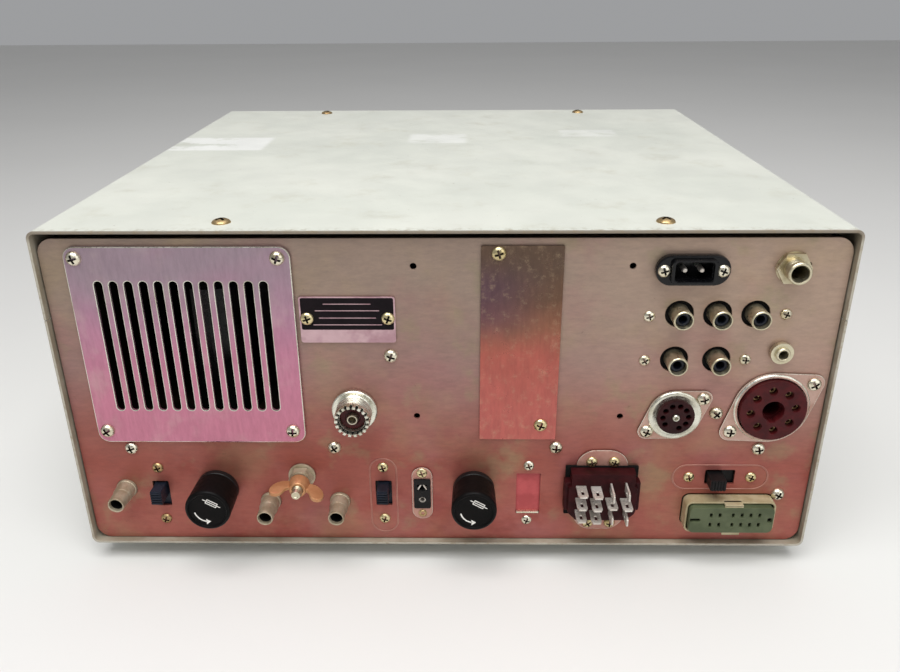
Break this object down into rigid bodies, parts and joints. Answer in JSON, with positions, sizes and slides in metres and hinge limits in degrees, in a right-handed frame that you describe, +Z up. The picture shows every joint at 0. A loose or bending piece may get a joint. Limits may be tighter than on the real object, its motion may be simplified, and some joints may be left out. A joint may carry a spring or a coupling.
{
  "type": "amateur radio transceiver",
  "caption": "Desktop amateur radio transceiver in a grey steel cabinet with a side handle, tuning dial and knobs in front and a plated rear panel of sockets, jacks and fuses.",
  "frame": {"origin": "on the floor, under the middle of the whole object's box", "axes": "+Z up, -Y towards the operator at the front panel, +Y out of the rear panel of connectors, +X to the operator's right"},
  "size_m": [0.3564, 0.3696, 0.1659],
  "materials": {
    "cover_paint": "worn satin grey enamel",
    "bezel_paint": "satin dark grey enamel",
    "panel_paint": "fine satin grey",
    "chromated_steel": "aged iridescent chromate plating",
    "bare_aluminium": "satin, faint lilac tarnish",
    "nickel_plate": "dulled nickel plate",
    "copper_brass": "coppery, tarnished",
    "bakelite": "dark maroon phenolic",
    "black_plastic": "moulded black",
    "green_plastic": "moulded olive green",
    "black_enamel": "gloss black enamel",
    "knob_plastic": "fluted dark plastic",
    "knob_metal": "satin dark metal",
    "dial_plastic": "printed pale green",
    "window_glass": "clear",
    "fuse_glass": "clear tube with metal ends",
    "tube_glass": "clear envelope with silvered top",
    "dark_iron": "painted iron",
    "board_laminate": "brown phenolic laminate",
    "foot_rubber": "matte black"
  },
  "bodies": {
    "root": {"top_cover": "cover_paint", "bottom_cover": "cover_paint", "front_left_foot": "foot_rubber", "front_right_foot": "foot_rubber", "rear_left_foot": "foot_rubber", "rear_right_foot": "foot_rubber", "chassis": "chromated_steel", "carry_handle": "black_plastic", "power_transformer": "dark_iron", "vfo_unit": "bare_aluminium", "final_tube": "tube_glass", "loudspeaker": "dark_iron", "circuit_board": "board_laminate", "rear_panel": "chromated_steel", "vent_grille": "bare_aluminium", "nameplate": "black_enamel", "blanking_plate": "chromated_steel", "antenna_connector": "nickel_plate", "key_jack": "nickel_plate", "speaker_jack": "nickel_plate", "mains_inlet": "black_plastic", "vfo_socket": "bakelite", "remote_socket": "bakelite", "power_plug": "bakelite", "phono_strip_upper": "nickel_plate", "phono_strip_lower": "nickel_plate", "aux_jack": "nickel_plate", "aux_jack_pair": "nickel_plate", "accessory_connector": "green_plastic", "dc_socket": "black_plastic", "fuse_holder_1": "black_plastic", "fuse_holder_2": "black_plastic", "ground_post": "nickel_plate", "front_bezel": "bezel_paint", "front_panel": "panel_paint", "meter": "black_plastic", "dial_window": "window_glass", "front_jacks": "nickel_plate"},
    "fuse_1": {"fuse_1": "fuse_glass"},
    "fuse_cap_1": {"fuse_cap_1": "black_plastic"},
    "fuse_2": {"fuse_2": "fuse_glass"},
    "fuse_cap_2": {"fuse_cap_2": "black_plastic"},
    "wing_nut": {"wing_nut": "copper_brass"},
    "slide_knob_1": {"slide_knob_1": "black_plastic"},
    "slide_knob_2": {"slide_knob_2": "black_plastic"},
    "slide_knob_3": {"slide_knob_3": "black_plastic"},
    "meter_needle": {"meter_needle": "black_enamel"},
    "tuning_knob": {"tuning_knob": "knob_metal"},
    "dial_disc": {"dial_disc": "dial_plastic"},
    "drive_knob": {"drive_knob": "knob_plastic"},
    "band_knob": {"band_knob": "knob_plastic"},
    "mode_knob": {"mode_knob": "knob_plastic"},
    "rit_knob": {"rit_knob": "knob_plastic"},
    "plate_knob": {"plate_knob": "knob_plastic"},
    "load_ring": {"load_ring": "knob_plastic"},
    "af_gain_knob": {"af_gain_knob": "knob_plastic"},
    "rf_gain_ring": {"rf_gain_ring": "knob_plastic"},
    "power_toggle": {"power_toggle": "nickel_plate"},
    "standby_toggle": {"standby_toggle": "nickel_plate"},
    "calibrator_toggle": {"calibrator_toggle": "nickel_plate"}
  },
  "joints": [
    {"name": "fuse_1_slide", "type": "slide", "parent": "root", "child": "fuse_1", "axis": [0, 1, 0], "range_m": [0, 0.045]},
    {"name": "fuse_cap_1_turn", "type": "hinge", "parent": "fuse_1", "child": "fuse_cap_1", "pos_m": [0.11335, 0.177, 0.04], "axis": [0, 1, 0], "range_deg": [0, 90]},
    {"name": "fuse_2_slide", "type": "slide", "parent": "root", "child": "fuse_2", "axis": [0, 1, 0], "range_m": [0, 0.045]},
    {"name": "fuse_cap_2_turn", "type": "hinge", "parent": "fuse_2", "child": "fuse_cap_2", "pos_m": [-0.00535, 0.177, 0.04], "axis": [0, 1, 0], "range_deg": [0, 90]},
    {"name": "wing_nut_turn", "type": "hinge", "parent": "root", "child": "wing_nut", "pos_m": [0.07365, 0.178, 0.047], "axis": [0, 1, 0], "continuous": true},
    {"name": "slide_switch_1", "type": "slide", "parent": "root", "child": "slide_knob_1", "axis": [0, 0, 1], "range_m": [-0.0044, 0]},
    {"name": "slide_switch_2", "type": "slide", "parent": "root", "child": "slide_knob_2", "axis": [0, 0, 1], "range_m": [-0.0044, 0]},
    {"name": "slide_switch_3", "type": "slide", "parent": "root", "child": "slide_knob_3", "axis": [1, 0, 0], "range_m": [-0.005, 0]},
    {"name": "meter_swing", "type": "hinge", "parent": "root", "child": "meter_needle", "pos_m": [-0.10395, -0.1618, 0.111], "axis": [0, 1, 0], "range_deg": [0, 90], "stiffness_Nm_per_rad": 0.00002},
    {"name": "tuning_turn", "type": "hinge", "parent": "root", "child": "tuning_knob", "pos_m": [0.00005, -0.17, 0.06], "axis": [0, 1, 0], "continuous": true},
    {"name": "dial_turn", "type": "hinge", "parent": "root", "child": "dial_disc", "pos_m": [0.00005, -0.156, 0.109], "axis": [0, 1, 0], "continuous": true},
    {"name": "drive_turn", "type": "hinge", "parent": "root", "child": "drive_knob", "pos_m": [0.09005, -0.17, 0.124], "axis": [0, 1, 0], "range_deg": [-90, 90]},
    {"name": "band_turn", "type": "hinge", "parent": "root", "child": "band_knob", "pos_m": [0.13605, -0.17, 0.079], "axis": [0, 1, 0], "range_deg": [-105, 105]},
    {"name": "mode_turn", "type": "hinge", "parent": "root", "child": "mode_knob", "pos_m": [0.09005, -0.17, 0.079], "axis": [0, 1, 0], "range_deg": [-60, 60]},
    {"name": "rit_turn", "type": "hinge", "parent": "root", "child": "rit_knob", "pos_m": [0.09005, -0.17, 0.038], "axis": [0, 1, 0], "range_deg": [-150, 150]},
    {"name": "plate_turn", "type": "hinge", "parent": "root", "child": "plate_knob", "pos_m": [0.13605, -0.17, 0.124], "axis": [0, 1, 0], "range_deg": [-90, 90]},
    {"name": "load_turn", "type": "hinge", "parent": "root", "child": "load_ring", "pos_m": [0.13605, -0.164, 0.124], "axis": [0, 1, 0], "range_deg": [-90, 90]},
    {"name": "af_gain_turn", "type": "hinge", "parent": "root", "child": "af_gain_knob", "pos_m": [0.13605, -0.17, 0.038], "axis": [0, 1, 0], "range_deg": [-150, 150]},
    {"name": "rf_gain_turn", "type": "hinge", "parent": "root", "child": "rf_gain_ring", "pos_m": [0.13605, -0.164, 0.038], "axis": [0, 1, 0], "range_deg": [-150, 150]},
    {"name": "power_flip", "type": "hinge", "parent": "root", "child": "power_toggle", "pos_m": [-0.12995, -0.16225, 0.084], "axis": [-1, 0, 0], "range_deg": [0, 24]},
    {"name": "standby_flip", "type": "hinge", "parent": "root", "child": "standby_toggle", "pos_m": [-0.10395, -0.16225, 0.084], "axis": [-1, 0, 0], "range_deg": [0, 24]},
    {"name": "calibrator_flip", "type": "hinge", "parent": "root", "child": "calibrator_toggle", "pos_m": [-0.07795, -0.16225, 0.084], "axis": [-1, 0, 0], "range_deg": [0, 24]}
  ],
  "couplings": [
    {"joint": "dial_turn", "follows": "tuning_turn", "ratio": 0.041667}
  ]
}
